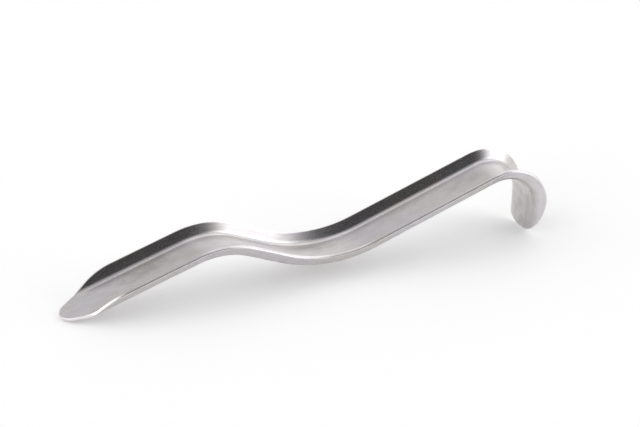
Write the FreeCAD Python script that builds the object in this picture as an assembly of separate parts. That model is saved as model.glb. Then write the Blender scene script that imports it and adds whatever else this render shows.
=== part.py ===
# Hand-held surgical retractor: one strip of stainless sheet, pressed into a shallow trough and bent into a
# lying S, with a tapered tongue at one end and a short hook, rounded at its end, at the other.
# Every place on the strip is given by three numbers: station, the distance along the underside from the tip;
# girth, the distance out from the middle line measured round the section; and offset from mid-sheet, inwards.
import FreeCAD, Part
import math
import os
from FreeCAD import Vector

# Sheet, in millimetres
sheet_thickness = 1.8
edge_rounding = 0.45
# The roundings of both skins leave at least a tenth of a cut edge flat between them
largest_rounding_share = 0.45

# Trough section across the strip, outside sizes
trough_width = 31.4
trough_depth = 6.6
corner_radius = 5.0
flange_lean = math.radians(30.0)

# Side profile along the underside of the floor, from the tip of the tongue to the end of the hook
blade_length = 74.0
crest_radius = 41.0
crest_turn = math.radians(39.5)
step_length = 20.0
valley_radius = 81.0
valley_turn = math.radians(41.2)
handle_length = 74.0
hook_radius = 19.7
hook_turn = math.radians(107.7)
hook_end_length = 17.4

# Outline of the flat blank at the tongue and at the hook's end
tongue_nose_radius = 7.8
tongue_side_angle = math.radians(26.5)
tongue_shoulder_radius = 42.0
hook_rounding_length = 30.0
# 2 gives an ellipse, and more gives a blunter end with squarer shoulders
hook_rounding_power = 2.4

# The cutting band reaches past both skins, and the strip that it trims past the blank, by this much
trim_margin = 1.2
# Spacing of the points that carry the outline from the blank on to the pressed strip
outline_step = 2.6
# Faces that meet at more than this are a cut edge, which is rounded; the pressed bends all run on smoothly
sharp_angle = math.radians(30.0)
# Places closer than this count as one where pieces are joined
joint_tolerance = 0.0005

mid_corner_radius = corner_radius - sheet_thickness / 2
corner_sweep = math.pi / 2 - flange_lean
flange_length = (trough_depth - corner_radius * (1 - math.sin(flange_lean))) / math.cos(flange_lean)
floor_half = trough_width / 2 - corner_radius * math.cos(flange_lean) - flange_length * math.sin(flange_lean)
rim_girth = floor_half + mid_corner_radius * corner_sweep + flange_length
rounding = min(edge_rounding, largest_rounding_share * sheet_thickness)

# Runs of the side profile: length, and the turn of the bend with up as plus
runs = [
    (blade_length, 0.0),
    (crest_radius * crest_turn, -crest_turn),
    (step_length, 0.0),
    (valley_radius * valley_turn, valley_turn),
    (handle_length, 0.0),
    (hook_radius * hook_turn, -hook_turn),
    (hook_end_length, 0.0),
]
strip_length = sum(length for length, turn in runs)


def along_run(point, heading, length, turn, done):
    """Point and heading after the distance done along a run that starts at a point with a heading."""
    if turn == 0.0:
        return point + Vector(math.cos(heading), 0, math.sin(heading)) * done, heading
    radius = length / turn
    new_heading = heading + done / radius
    chord = Vector(math.sin(new_heading) - math.sin(heading), 0, math.cos(heading) - math.cos(new_heading))
    return point + chord * radius, new_heading


def placed_runs():
    """Each run with its first station and with the point and heading that it starts from."""
    placed = []
    station, point, heading = 0.0, Vector(0, 0, 0), 0.0
    for length, turn in runs:
        placed.append((station, point, heading, length, turn))
        point, heading = along_run(point, heading, length, turn, length)
        station += length
    return placed


runs_in_place = placed_runs()


def run_at(station):
    """The run that holds a station; the first and the last also hold what lies past the strip's ends."""
    started = [run for run in runs_in_place if run[0] <= station]
    return started[-1] if started else runs_in_place[0]


def frame_at(station):
    """Point of the underside middle line at a station, and the direction of the line there."""
    start, point, heading, length, turn = run_at(station)
    return along_run(point, heading, length, turn, station - start)


def section_at(girth, offset):
    """Place in the section, across and up from the underside, of a point on the pressed sheet."""
    out = abs(girth)
    angle = min(max((out - floor_half) / mid_corner_radius, 0.0), corner_sweep)
    up_flange = max(out - floor_half - mid_corner_radius * corner_sweep, 0.0)
    across = min(out, floor_half) + (mid_corner_radius - offset) * math.sin(angle)
    across += up_flange * math.cos(angle)
    height = corner_radius - (mid_corner_radius - offset) * math.cos(angle) + up_flange * math.sin(angle)
    return math.copysign(across, girth), height


def strip_point(station, girth, offset):
    """Point of the bent strip in space."""
    point, heading = frame_at(station)
    across, height = section_at(girth, offset)
    return point + Vector(-math.sin(heading) * height, across, math.cos(heading) * height)


def section_face(station, rim_extra):
    """Face of the trough section at a station: finished with a rounded rim, or taken past the rim by rim_extra."""
    half = sheet_thickness / 2
    corner_end = floor_half + mid_corner_radius * corner_sweep
    corner_middle = (floor_half + corner_end) / 2
    rim = rim_girth + rim_extra
    rim_radius = 0.0 if rim_extra else rounding
    # Halfway round the rim's arcs, this much is left to the rim and to the skin
    arc_gap = rim_radius * (1 - math.sqrt(0.5))

    def place(girth, offset):
        return strip_point(station, girth, offset)

    curves = []
    for offset in (-half, half):
        curves.append(Part.LineSegment(place(-floor_half, offset), place(floor_half, offset)))
        for side in (-1, 1):
            corner = [side * girth for girth in (floor_half, corner_middle, corner_end)]
            curves.append(Part.Arc(*[place(girth, offset) for girth in corner]))
            skin_end = place(side * (rim - rim_radius), offset)
            curves.append(Part.LineSegment(place(side * corner_end, offset), skin_end))
            if rim_radius:
                inward = math.copysign(1, offset)
                arc_middle = place(side * (rim - arc_gap), offset - inward * arc_gap)
                curves.append(Part.Arc(skin_end, arc_middle, place(side * rim, offset - inward * rim_radius)))
    flat = half - rim_radius
    for side in (-1, 1):
        curves.append(Part.LineSegment(place(side * rim, -flat), place(side * rim, flat)))
    edges = Part.sortEdges([curve.toShape() for curve in curves])[0]
    return Part.Face(Part.Wire(edges))


def strip_between(first, last, rim_extra):
    """Solid of the bent trough between two stations."""
    inner_joints = [run[0] for run in runs_in_place if first < run[0] < last and run[0] > 0.0]
    joints = [first] + inner_joints + [last]
    pieces = []
    for low, high in zip(joints, joints[1:]):
        length, turn = run_at((low + high) / 2)[3:]
        point, heading = frame_at(low)
        face = section_face(low, rim_extra)
        if turn == 0.0:
            pieces.append(face.extrude(Vector(math.cos(heading), 0, math.sin(heading)) * (high - low)))
        else:
            radius = length / turn
            centre = point + Vector(-math.sin(heading), 0, math.cos(heading)) * radius
            pieces.append(face.revolve(centre, Vector(0, -1, 0), math.degrees((high - low) / radius)))
    return fused(pieces)


def fused(pieces):
    """One solid from pieces that meet face to face."""
    whole = pieces[0]
    if len(pieces) > 1:
        whole = whole.fuse(pieces[1:], joint_tolerance)
    return whole.removeSplitter().Solids[0]


def spaced(start, end, travel):
    """Values from start to end, about outline_step apart along a curve as long as travel."""
    count = max(2, round(travel / outline_step))
    return [start + (end - start) * index / count for index in range(count + 1)]


def tongue_outline():
    """Half the tongue's outline on the blank, as stations and girths from the nose to the full width."""
    nose_turn = math.pi / 2 - tongue_side_angle
    side_start = (tongue_nose_radius * (1 - math.cos(nose_turn)), tongue_nose_radius * math.sin(nose_turn))
    corner_station = side_start[0] + (rim_girth - side_start[1]) / math.tan(tongue_side_angle)
    tangent = tongue_shoulder_radius * math.tan(tongue_side_angle / 2)
    shoulder_end = corner_station + tangent
    side_end = (
        corner_station - tangent * math.cos(tongue_side_angle),
        rim_girth - tangent * math.sin(tongue_side_angle),
    )
    points = []
    for angle in spaced(0.0, nose_turn, tongue_nose_radius * nose_turn):
        points.append((tongue_nose_radius * (1 - math.cos(angle)), tongue_nose_radius * math.sin(angle)))
    for share in spaced(0.0, 1.0, math.dist(side_start, side_end))[1:]:
        points.append(tuple(a + (b - a) * share for a, b in zip(side_start, side_end)))
    for angle in spaced(tongue_side_angle, 0.0, tongue_shoulder_radius * tongue_side_angle)[1:]:
        station = shoulder_end - tongue_shoulder_radius * math.sin(angle)
        points.append((station, rim_girth - tongue_shoulder_radius * (1 - math.cos(angle))))
    return points, shoulder_end


def hook_outline():
    """Half the hook end's outline on the blank, a superellipse, from the end to the full width."""
    start = strip_length - hook_rounding_length
    power = 2 / hook_rounding_power
    points = []
    for angle in spaced(0.0, math.pi / 2, math.hypot(hook_rounding_length, rim_girth)):
        # The cosine of a right angle comes out a hair below zero at times
        along = hook_rounding_length * max(math.cos(angle), 0.0) ** power
        points.append((start + along, rim_girth * math.sin(angle) ** power))
    return points, start


def cutting_band(half_outline, beyond):
    """Face square to the sheet all along an outline, carried past the full width to the station beyond."""
    half = half_outline + [(beyond, rim_girth)]
    whole = [(station, -girth) for station, girth in reversed(half)] + half[1:]
    travelled = [0.0]
    for first, second in zip(whole, whole[1:]):
        travelled.append(travelled[-1] + math.dist(first, second))
    reach = sheet_thickness / 2 + trim_margin
    edges = []
    for offset in (-reach, reach):
        curve = Part.BSplineCurve()
        points = [strip_point(station, girth, offset) for station, girth in whole]
        curve.interpolate(Points=points, Parameters=travelled)
        edges.append(curve.toShape())
    return Part.makeRuledSurface(edges[0], edges[1])


def trimmed(strip, band):
    """The larger part of a strip once the band has cut it."""
    parts, _ = strip.generalFuse([band])
    return max(parts.Solids, key=lambda solid: solid.Volume)


def cut_edges(solid, joint):
    """Edges where the cut face meets the skins at a corner, without those of the face at the joint station."""
    point, heading = frame_at(joint)
    along = Vector(math.cos(heading), 0, math.sin(heading))
    chosen = []
    for edge in solid.Edges:
        middle = edge.valueAt((edge.FirstParameter + edge.LastParameter) / 2)
        if abs((middle - point).dot(along)) < joint_tolerance:
            continue
        normals = []
        for face in solid.ancestorsOfType(edge, Part.Face):
            normals.append(face.normalAt(*face.Surface.parameter(middle)))
        if len(normals) == 2 and normals[0].getAngle(normals[1]) > sharp_angle:
            chosen.append(edge)
    return chosen


def cut_end(first, last, joint, band):
    """An end of the strip, cut to its outline, with its cut edges rounded."""
    end = trimmed(strip_between(first, last, trim_margin), band)
    return end.makeFillet(rounding, cut_edges(end, joint))


def retractor_body():
    """The whole strip: middle, tongue and hook end."""
    tongue_points, tongue_end = tongue_outline()
    hook_points, hook_start = hook_outline()
    tongue_band = cutting_band(tongue_points, tongue_end + trim_margin)
    hook_band = cutting_band(hook_points, hook_start - trim_margin)
    tongue = cut_end(-trim_margin, tongue_end, tongue_end, tongue_band)
    hook = cut_end(hook_start, strip_length + trim_margin, hook_start, hook_band)
    return fused([strip_between(tongue_end, hook_start, 0.0), tongue, hook])


def laid_down(solid):
    """Turned to stand on the tip and the hook's end, middle of the box at the origin, lowest point at zero."""
    # The two roundings that touch the ground have their centres at one height
    centre_offset = rounding - sheet_thickness / 2
    tip = strip_point(rounding, 0.0, centre_offset)
    end = strip_point(strip_length - rounding, 0.0, centre_offset)
    slope = math.atan2(end.z - tip.z, end.x - tip.x)
    rested = solid.copy()
    rested.rotate(tip, Vector(0, 1, 0), math.degrees(slope))
    box = rested.optimalBoundingBox(False, False)
    rested.translate(Vector(-box.Center.x, -box.Center.y, -box.ZMin))
    return rested


os.makedirs("parts", exist_ok=True)
body = laid_down(retractor_body())
body.exportStep("parts/retractor_body.step")
print("retractor_body", "valid", body.isValid(), "volume", round(body.Volume, 1))
print(body.optimalBoundingBox(False, False))
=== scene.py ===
import bpy
import bmesh
import math
from mathutils import Euler, Matrix, Vector


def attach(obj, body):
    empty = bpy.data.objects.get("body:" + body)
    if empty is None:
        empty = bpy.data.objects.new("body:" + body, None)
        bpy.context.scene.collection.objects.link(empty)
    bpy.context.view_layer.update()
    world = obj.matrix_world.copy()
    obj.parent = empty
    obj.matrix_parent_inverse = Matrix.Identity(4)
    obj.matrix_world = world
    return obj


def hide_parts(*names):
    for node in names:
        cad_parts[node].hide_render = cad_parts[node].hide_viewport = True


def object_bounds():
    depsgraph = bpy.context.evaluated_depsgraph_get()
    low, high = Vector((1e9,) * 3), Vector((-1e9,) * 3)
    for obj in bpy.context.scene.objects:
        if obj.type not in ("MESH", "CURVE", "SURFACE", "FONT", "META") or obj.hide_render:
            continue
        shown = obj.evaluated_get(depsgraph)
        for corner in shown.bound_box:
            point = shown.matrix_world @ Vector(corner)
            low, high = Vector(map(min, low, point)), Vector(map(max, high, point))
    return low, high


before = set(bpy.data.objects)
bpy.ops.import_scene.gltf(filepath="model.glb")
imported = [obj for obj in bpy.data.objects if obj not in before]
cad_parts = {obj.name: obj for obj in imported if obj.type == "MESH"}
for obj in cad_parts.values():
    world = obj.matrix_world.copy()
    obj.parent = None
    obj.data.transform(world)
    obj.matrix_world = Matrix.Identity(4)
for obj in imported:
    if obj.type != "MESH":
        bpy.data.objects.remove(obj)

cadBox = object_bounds()
print("frame loaded")

# Retractor: one strip of sheet, pressed into a trough and bent into a lying S
retractor = {
    "sheet": 0.0018,
    "edgeRounding": 0.00045,
    "edgeSteps": 3,                 # facets of each quarter round
    "width": 0.0314,                # outside, over both flanges
    "depth": 0.0066,
    "cornerRadius": 0.005,
    "flangeLean": 30.0,
    # length along the underside and turn in degrees, up as plus
    "blade": (0.074, 0.0),
    "crest": (0.041 * math.radians(39.5), -39.5),
    "step": (0.020, 0.0),
    "valley": (0.081 * math.radians(41.2), 41.2),
    "handle": (0.074, 0.0),
    "hook": (0.0197 * math.radians(107.7), -107.7),
    "hookEnd": (0.0174, 0.0),
    "tipHeading": 17.28,            # how steeply the blade rises from the tip
    "noseRadius": 0.0078,
    "tongueAngle": 26.5,
    "shoulderRadius": 0.042,
    "hookRounding": 0.030,
    "hookBluntness": 2.4,           # 2 is an ellipse
    "endBlend": 0.012,              # past the outlines' ends, the mesh rows straighten out over this
    "rows": 300,                    # mesh rows along the strip and columns across it
    "columns": 54,
}

sheet = retractor["sheet"]
lean = math.radians(retractor["flangeLean"])
midRadius = retractor["cornerRadius"] - sheet / 2
cornerSweep = math.pi / 2 - lean
flangeLength = (retractor["depth"] - retractor["cornerRadius"] * (1 - math.sin(lean))) / math.cos(lean)
floorHalf = retractor["width"] / 2 - retractor["cornerRadius"] * math.cos(lean)
floorHalf -= flangeLength * math.sin(lean)
rimGirth = floorHalf + midRadius * cornerSweep + flangeLength
runs = [retractor[name] for name in ("blade", "crest", "step", "valley", "handle", "hook", "hookEnd")]
stripLength = sum(length for length, turn in runs)
tiny = 1e-6                         # a share this small counts as none
weldGap = 1e-7                      # metres


def tongueEdge(share):
    # place on the blank's outline and the way out of it; share 0 is the nose, 1 where the sides run parallel
    side = math.radians(retractor["tongueAngle"])
    sideOut = (-math.sin(side), math.cos(side))
    nose, shoulder = retractor["noseRadius"], retractor["shoulderRadius"]
    noseTurn = math.pi / 2 - side
    startX, startY = nose * (1 - math.cos(noseTurn)), nose * math.sin(noseTurn)
    cornerX = startX + (rimGirth - startY) / math.tan(side)
    tangent = shoulder * math.tan(side / 2)
    endX, endY = cornerX - tangent * math.cos(side), rimGirth - tangent * math.sin(side)
    straight = math.hypot(endX - startX, endY - startY)
    travel = share * (nose * noseTurn + straight + shoulder * side)
    if travel < nose * noseTurn:
        angle = math.pi / 2 - travel / nose
        return nose * (1 - math.sin(angle)), nose * math.cos(angle), -math.sin(angle), math.cos(angle)
    travel -= nose * noseTurn
    if travel < straight:
        return startX + travel * math.cos(side), startY + travel * math.sin(side), *sideOut
    angle = side - (travel - straight) / shoulder
    x = cornerX + tangent - shoulder * math.sin(angle)
    return x, rimGirth - shoulder * (1 - math.cos(angle)), -math.sin(angle), math.cos(angle)


def hookEdge(share):
    # the same for the hook's end, a quarter of a superellipse; share 0 is its middle
    length, blunt = retractor["hookRounding"], retractor["hookBluntness"]
    angle = share * math.pi / 2
    along, across = max(math.cos(angle), 0.0) ** (2 / blunt), math.sin(angle) ** (2 / blunt)
    out = Vector((along ** (blunt - 1) / length, across ** (blunt - 1) / rimGirth)).normalized()
    return stripLength - length + length * along, rimGirth * across, out.x, out.y


def frameAt(station):
    # underside middle line: x, z and heading
    x = z = heading = 0.0
    left = station
    for length, turn in runs:
        done = min(left, length)
        if turn == 0.0:
            x += math.cos(heading) * done
            z += math.sin(heading) * done
        else:
            radius = length / math.radians(turn)
            swept = done / radius
            x += radius * (math.sin(heading + swept) - math.sin(heading))
            z += radius * (math.cos(heading) - math.cos(heading + swept))
            heading += swept
        left -= done
    return x, z, heading


def pressed(point):
    # from the flat blank (station, girth, offset) to the pressed and bent strip
    station, girth, offset = point
    out = abs(girth)
    angle = min(max((out - floorHalf) / midRadius, 0.0), cornerSweep)
    upFlange = max(out - floorHalf - midRadius * cornerSweep, 0.0)
    across = min(out, floorHalf) + (midRadius - offset) * math.sin(angle) + upFlange * math.sin(lean)
    height = retractor["cornerRadius"] - (midRadius - offset) * math.cos(angle) + upFlange * math.cos(lean)
    x, z, heading = frameAt(station)
    x, z = x - math.sin(heading) * height, z + math.cos(heading) * height
    return Vector((x, math.copysign(across, girth), z))


def layBlank(bm, wayOut):
    # one flat skin, up to where its edge starts to round; the rows at its ends follow the outline
    inset = retractor["edgeRounding"]
    bmesh.ops.create_grid(bm, x_segments=retractor["rows"], y_segments=retractor["columns"], size=1.0)
    tongueEnd = tongueEdge(1.0)[0] + retractor["endBlend"]
    hookStart = hookEdge(1.0)[0] - retractor["endBlend"]
    for vert in bm.verts:
        station, share = (vert.co.x + 1) / 2 * stripLength, vert.co.y
        girth = share * (rimGirth - inset)
        vert[wayOut] = (0, math.copysign(1, share), 0)
        if tongueEnd <= station <= hookStart:
            vert.co = (station, girth, 0)
            continue
        onTongue = station < tongueEnd
        x, y, outX, outY = (tongueEdge if onTongue else hookEdge)(abs(share))
        out = Vector((outX, math.copysign(outY, share), 0))
        edge = Vector((x, math.copysign(y, share), 0)) - out * inset
        inner = Vector((tongueEnd if onTongue else hookStart, girth, 0))
        mix = station / tongueEnd if onTongue else (stripLength - station) / (stripLength - hookStart)
        vert.co = edge.lerp(inner, mix)
        if mix < tiny:              # only the last row is on the rounded border
            vert[wayOut] = out


def rollEdge(bm, wayOut, edges):
    # the border goes over a quarter round, down the cut face and under another quarter round
    radius, steps = retractor["edgeRounding"], retractor["edgeSteps"]
    profile = []
    for step in range(1, steps + 1):
        angle = step / steps * math.pi / 2
        profile.append((radius * math.sin(angle), sheet / 2 - radius * (1 - math.cos(angle))))
    profile += [(out, -height) for out, height in reversed([(0.0, sheet / 2)] + profile)]
    reached = 0.0
    for out, height in profile:
        grown = bmesh.ops.extrude_edge_only(bm, edges=edges)["geom"]
        for vert in [item for item in grown if isinstance(item, bmesh.types.BMVert)]:
            vert.co += vert[wayOut] * (out - reached)
            vert.co.z = height
        edges = [item for item in grown if isinstance(item, bmesh.types.BMEdge)]
        for face in [item for item in grown if isinstance(item, bmesh.types.BMFace)]:
            face.material_index = 1
        reached = out


def addObject(name, bm):
    mesh = bpy.data.meshes.new(name)
    bm.to_mesh(mesh)
    bm.free()
    added = bpy.data.objects.new(name, mesh)
    bpy.context.scene.collection.objects.link(added)
    return added


bm = bmesh.new()
wayOut = bm.verts.layers.float_vector.new("wayOut")
layBlank(bm, wayOut)
bmesh.ops.translate(bm, verts=bm.verts, vec=(0, 0, sheet / 2))
border = [edge for edge in bm.edges if edge.is_boundary]
underside = bmesh.ops.duplicate(bm, geom=bm.verts[:] + bm.edges[:] + bm.faces[:])["geom"]
underside = [item for item in underside if isinstance(item, bmesh.types.BMVert)]
bmesh.ops.translate(bm, verts=underside, vec=(0, 0, -sheet))
rollEdge(bm, wayOut, border)
bmesh.ops.remove_doubles(bm, verts=bm.verts, dist=weldGap)
bmesh.ops.recalc_face_normals(bm, faces=bm.faces)
print("blank cut:", len(bm.faces), "faces, open edges:", sum(edge.is_boundary for edge in bm.edges))

# the flat place of each point, in metres, guides the grain
sheetMap = bm.loops.layers.uv.new("sheetMap")
for face in bm.faces:
    face.smooth = True
    for loop in face.loops:
        loop[sheetMap].uv = (loop.vert.co.x, loop.vert.co.y)
for vert in bm.verts:
    vert.co = pressed(vert.co)
rise = Matrix.Rotation(-math.radians(retractor["tipHeading"]), 3, "Y")
bmesh.ops.rotate(bm, verts=bm.verts, cent=(0, 0, 0), matrix=rise)
lowX, lowZ = min(vert.co.x for vert in bm.verts), min(vert.co.z for vert in bm.verts)
bmesh.ops.translate(bm, verts=bm.verts, vec=(cadBox[0].x - lowX, 0, cadBox[0].z - lowZ))
print("strip pressed and bent")

strip = addObject("retractorStrip", bm)
strip.modifiers.new("evenShade", "WEIGHTED_NORMAL").keep_sharp = True
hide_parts("retractor_body")
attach(strip, "root")

# Satin steel: a matt blasted sheet, rubbed lengthwise, with tumbled cut edges whose lighter colour is a
# painted highlight
satinSteel = {
    "coolColour": (0.680, 0.653, 0.680),
    "warmColour": (0.685, 0.653, 0.640),
    "edgeHighlightLightness": 1.25,          # the cut edge's colour against the skin's, lightened as a painted highlight
    # noise layers: length along the strip, width across it, detail and the values taken as none and full
    "tintLayer": (0.042, 0.030, 1.0, 0.35, 0.65),
    "mottleLayer": (0.007, 0.0042, 4.0, 0.3, 0.7),
    "streakLayer": (0.018, 0.00045, 3.0, 0.25, 0.75),
    "scratchLayer": (0.0045, 0.00016, 2.0, 0.25, 0.75),
    "mottleDepth": 0.065,
    "streakDepth": 0.05,
    "skinRoughness": 0.26,
    "edgeRoughness": 0.16,
    "roughnessSpread": 0.06,
    "streakShare": 0.6,             # of the roughness, the rest follows the mottling
    "reliefHeight": 0.000003,
    "scratchShare": 0.35,           # of a streak's height
    "edgeRelief": 0.4,              # of the skin's relief
    "spotCore": 0.15,               # share of a spot that is at full depth
    "spotEvenness": (0.8, 1.1),     # a spot's depth where the mottling is light and dark
    "spotWarmth": 4.0,
    # soft darker, warmer patches: station, girth, half length, half width and depth
    "darkWarmPatches": [
        (0.052, 0.003, 0.026, 0.010, 0.20),
        (0.071, -0.002, 0.010, 0.005, 0.06),
        (0.118, 0.002, 0.014, 0.006, 0.09),
        (0.148, 0.004, 0.022, 0.007, 0.16),
        (0.205, 0.006, 0.016, 0.004, 0.07),
        (0.244, 0.001, 0.018, 0.008, 0.12),
        (0.291, 0.0, 0.022, 0.016, 0.20),
    ],
}


def socket(tree, name, kind, side):
    return tree.interface.new_socket(name=name, in_out=side, socket_type="NodeSocket" + kind)


def flatPlace(tree, length, width, station=0.0, girth=0.0):
    # place on the flat sheet, from the given point and in units of length and width
    place = tree.nodes.new("ShaderNodeUVMap")
    place.uv_map = "sheetMap"
    fitted = tree.nodes.new("ShaderNodeVectorMath")
    fitted.operation = "MULTIPLY_ADD"
    fitted.inputs[1].default_value = (1 / length, 1 / width, 0)
    fitted.inputs[2].default_value = (-station / length, -girth / width, 0)
    tree.links.new(place.outputs[0], fitted.inputs[0])
    return fitted.outputs[0]


def remapped(tree, source, fromLow, fromHigh, toLow, toHigh):
    # an eased step from one value to another
    step = tree.nodes.new("ShaderNodeMapRange")
    step.interpolation_type = "SMOOTHSTEP"
    for place, value in zip(step.inputs[1:5], (fromLow, fromHigh, toLow, toHigh)):
        place.default_value = value
    tree.links.new(source, step.inputs[0])
    return step.outputs[0]


def noiseLayer(tree, length, width, detail, low, high):
    noise = tree.nodes.new("ShaderNodeTexNoise")
    noise.noise_dimensions = "2D"
    noise.inputs["Scale"].default_value = 1.0
    noise.inputs["Detail"].default_value = detail
    tree.links.new(flatPlace(tree, length, width), noise.inputs["Vector"])
    return remapped(tree, noise.outputs["Fac"], low, high, 0.0, 1.0)


def combined(tree, operation, first, second):
    node = tree.nodes.new("ShaderNodeMath")
    node.operation = operation
    for place, value in zip(node.inputs, (first, second)):
        if isinstance(value, (int, float)):
            place.default_value = value
        else:
            tree.links.new(value, place)
    return node.outputs[0]


def softSpot(tree, station, girth, halfLength, halfWidth, depth):
    # a rounded patch of the sheet that fades out towards its edge
    reach = tree.nodes.new("ShaderNodeVectorMath")
    reach.operation = "LENGTH"
    tree.links.new(flatPlace(tree, halfLength, halfWidth, station, girth), reach.inputs[0])
    return remapped(tree, reach.outputs["Value"], 1.0, satinSteel["spotCore"], 0.0, depth)


def makeSatinGrain():
    # colour, roughness and relief of the rubbed sheet; they vary about the two levels given
    tree = bpy.data.node_groups.new("satinGrain", "ShaderNodeTree")
    socket(tree, "Lightness", "Float", "INPUT")
    socket(tree, "Roughness Level", "Float", "INPUT")
    for name, kind in (("Color", "Color"), ("Roughness", "Float"), ("Height", "Float")):
        socket(tree, name, kind, "OUTPUT")
    given = tree.nodes.new("NodeGroupInput")
    result = tree.nodes.new("NodeGroupOutput")
    layers = [satinSteel[name + "Layer"] for name in ("tint", "mottle", "streak", "scratch")]
    tint, mottle, streak, scratch = [noiseLayer(tree, *layer) for layer in layers]
    # darker, warmer patches at the listed places along the strip
    spots = 0.0
    for spot in satinSteel["darkWarmPatches"]:
        spots = combined(tree, "ADD", softSpot(tree, *spot), spots)
    evenness = remapped(tree, mottle, 0.0, 1.0, *satinSteel["spotEvenness"])
    spots = combined(tree, "MULTIPLY", spots, evenness)
    tint = combined(tree, "ADD", tint, combined(tree, "MULTIPLY", spots, satinSteel["spotWarmth"]))
    steelTint = tree.nodes.new("ShaderNodeMix")
    steelTint.data_type = "RGBA"
    steelTint.inputs[6].default_value = (*satinSteel["coolColour"], 1)    # the colour pair is 6 and 7
    steelTint.inputs[7].default_value = (*satinSteel["warmColour"], 1)
    tree.links.new(tint, steelTint.inputs[0])
    darkened = combined(tree, "MULTIPLY", mottle, satinSteel["mottleDepth"])
    lined = combined(tree, "MULTIPLY", streak, satinSteel["streakDepth"])
    darkened = combined(tree, "ADD", darkened, spots)
    shade = combined(tree, "SUBTRACT", given.outputs["Lightness"], combined(tree, "ADD", darkened, lined))
    shaded = tree.nodes.new("ShaderNodeVectorMath")
    shaded.operation = "SCALE"
    tree.links.new(steelTint.outputs[2], shaded.inputs[0])
    tree.links.new(shade, shaded.inputs["Scale"])
    tree.links.new(shaded.outputs[0], result.inputs["Color"])
    streakShare = satinSteel["streakShare"]
    streaky = combined(tree, "MULTIPLY", streak, streakShare)
    grain = combined(tree, "ADD", streaky, combined(tree, "MULTIPLY", mottle, 1 - streakShare))
    drift = combined(tree, "MULTIPLY", combined(tree, "SUBTRACT", grain, 0.5), satinSteel["roughnessSpread"])
    roughness = combined(tree, "ADD", given.outputs["Roughness Level"], drift)
    tree.links.new(roughness, result.inputs["Roughness"])
    relief = combined(tree, "ADD", streak, combined(tree, "MULTIPLY", scratch, satinSteel["scratchShare"]))
    tree.links.new(relief, result.inputs["Height"])
    return tree


def makeSteel(name, lightness, roughnessLevel, reliefShare):
    steel = bpy.data.materials.new(name)
    steel.use_nodes = True
    nodes, links = steel.node_tree.nodes, steel.node_tree.links
    shader = nodes["Principled BSDF"]
    shader.inputs["Metallic"].default_value = 1.0
    grain = nodes.new("ShaderNodeGroup")
    grain.node_tree = satinGrain
    grain.inputs["Lightness"].default_value = lightness
    grain.inputs["Roughness Level"].default_value = roughnessLevel
    relief = nodes.new("ShaderNodeBump")
    relief.inputs["Strength"].default_value = reliefShare
    relief.inputs["Distance"].default_value = satinSteel["reliefHeight"]
    links.new(grain.outputs["Color"], shader.inputs["Base Color"])
    links.new(grain.outputs["Roughness"], shader.inputs["Roughness"])
    links.new(grain.outputs["Height"], relief.inputs["Height"])
    links.new(relief.outputs["Normal"], shader.inputs["Normal"])
    return steel


satinGrain = makeSatinGrain()
skinSteel = makeSteel("satinSteel", 1.0, satinSteel["skinRoughness"], 1.0)
# the cut edges get a smoother finish and a lighter colour than the skin; the lighter colour is a painted
# highlight
edgeSteel = makeSteel(
    "tumbledEdgePaintedHighlight", satinSteel["edgeHighlightLightness"], satinSteel["edgeRoughness"], satinSteel["edgeRelief"])
strip.data.materials.append(skinSteel)
strip.data.materials.append(edgeSteel)
print("satin steel applied")

# Room: a white table under broad soft light from the right, left, back and above, dim behind the camera
room = {
    "floorSize": 12.0,
    "floorColour": (0.92, 0.92, 0.92),
    "floorRoughness": 0.9,
    "floorGlow": 0.19,              # lifts the table to white for the camera and in the metal's reflections
    "dimTone": 0.05,
    # azimuth from the back towards the right, height, full light within, none beyond (degrees), strength
    "glows": [
        (121.0, 23.0, 4.0, 26.0, 1.7),
        (89.0, 13.0, 36.0, 57.0, 0.45),
        (20.0, 40.0, 28.0, 50.0, 0.43),
        (74.0, 42.0, 34.0, 56.0, 0.55),
        (264.0, 19.0, 21.0, 56.0, 1.45),
        (328.0, 23.0, 17.0, 42.0, 0.45),
        (270.0, 75.0, 10.0, 42.0, 0.38),
    ],
}
bm = bmesh.new()
bmesh.ops.create_grid(bm, x_segments=1, y_segments=1, size=room["floorSize"] / 2)
floor = addObject("floor", bm)
paper = bpy.data.materials.new("paleFloor")
paper.use_nodes = True
nodes, links = paper.node_tree.nodes, paper.node_tree.links
shader = nodes["Principled BSDF"]
shader.inputs["Base Color"].default_value = (*room["floorColour"], 1)
shader.inputs["Roughness"].default_value = room["floorRoughness"]
shader.inputs["Specular IOR Level"].default_value = 0.0
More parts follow.
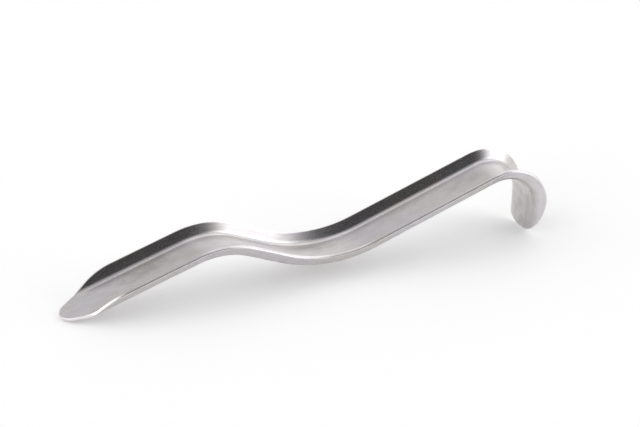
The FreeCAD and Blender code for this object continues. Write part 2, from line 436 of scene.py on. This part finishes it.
shader.inputs["Emission Color"].default_value = (1, 1, 1, 1)
rays = nodes.new("ShaderNodeLightPath")
seen = combined(paper.node_tree, "MAXIMUM", rays.outputs["Is Camera Ray"], rays.outputs["Is Glossy Ray"])
seen = combined(paper.node_tree, "MAXIMUM", seen, rays.outputs["Is Transmission Ray"])
links.new(combined(paper.node_tree, "MULTIPLY", seen, room["floorGlow"]), shader.inputs["Emission Strength"])
floor.data.materials.append(paper)

world = bpy.data.worlds.new("studio")
bpy.context.scene.world = world
world.use_nodes = True
sky = world.node_tree
direction = sky.nodes.new("ShaderNodeTexCoord").outputs["Generated"]


def softGlow(azimuth, height, full, none, strength):
    # a round patch of the sky that fades out between two angles from its middle
    azimuth, height = math.radians(azimuth), math.radians(height)
    toward = sky.nodes.new("ShaderNodeVectorMath")
    toward.operation = "DOT_PRODUCT"
    toward.inputs[1].default_value = (
        math.cos(height) * math.sin(azimuth), math.cos(height) * math.cos(azimuth), math.sin(height))
    sky.links.new(direction, toward.inputs[0])
    none, full = math.cos(math.radians(none)), math.cos(math.radians(full))
    return remapped(sky, toward.outputs["Value"], none, full, 0.0, strength)


tone = room["dimTone"]
for glow in room["glows"]:
    tone = combined(sky, "ADD", softGlow(*glow), tone)
sky.links.new(tone, sky.nodes["Background"].inputs["Strength"])
sky.nodes["Background"].inputs["Color"].default_value = (1, 1, 1, 1)
print("room lit")

# Camera
view = {
    "position": (-0.5339, -0.97209, 0.59815),
    "turn": (62.9671, -2.9899, -27.5464),
    "lens": 135.0,
    "sensor": 36.0,
}
lens = bpy.data.cameras.new("camera")
lens.lens = view["lens"]
lens.sensor_width = view["sensor"]
camera = bpy.data.objects.new("camera", lens)
camera.location = view["position"]
camera.rotation_euler = Euler([math.radians(angle) for angle in view["turn"]], "XYZ")
bpy.context.scene.collection.objects.link(camera)
bpy.context.scene.camera = camera
bpy.context.scene.view_settings.view_transform = "Standard"

print("cad box", [tuple(round(v * 1000, 2) for v in corner) for corner in cadBox])
